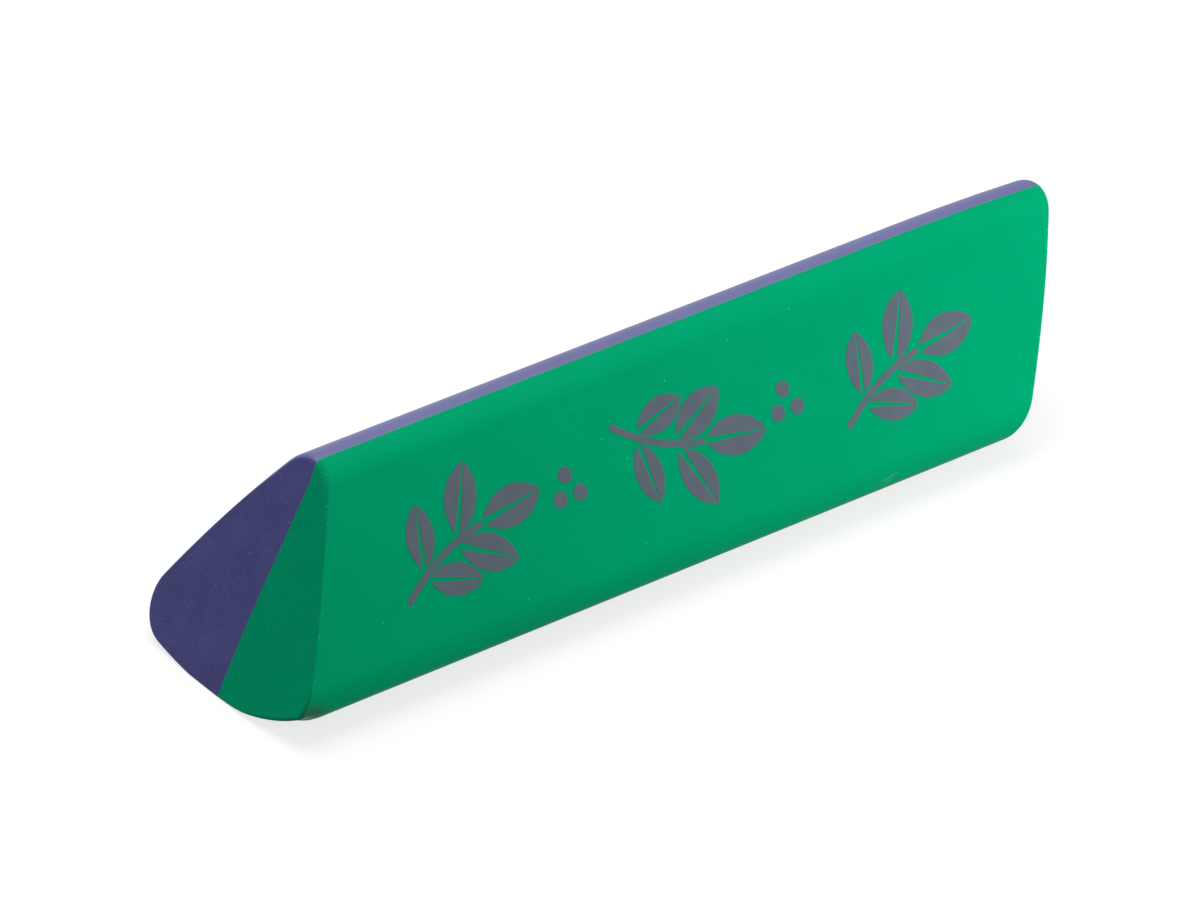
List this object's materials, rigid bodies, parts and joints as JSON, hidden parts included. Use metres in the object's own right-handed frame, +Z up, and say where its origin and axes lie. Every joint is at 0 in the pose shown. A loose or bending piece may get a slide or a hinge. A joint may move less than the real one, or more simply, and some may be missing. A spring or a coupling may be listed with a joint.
{
  "type": "block eraser",
  "caption": "Block eraser for pencil marks: a rounded triangular bar of soft vinyl, green in front and violet behind, with slanted cut ends and a flat to rest on.",
  "frame": {"origin": "on the resting plane, under the middle of the bounding box", "axes": "+X along the bar, towards the end whose ridge overhangs; +Y from the green front to the violet back; +Z up, from the resting land to the ridge"},
  "size_m": [0.0766, 0.0182, 0.0169],
  "materials": {
    "green_vinyl": "satin",
    "violet_vinyl": "satin",
    "print_ink": "matte"
  },
  "bodies": {
    "root": {"front_half": "green_vinyl", "back_half": "violet_vinyl"}
  },
  "joints": []
}
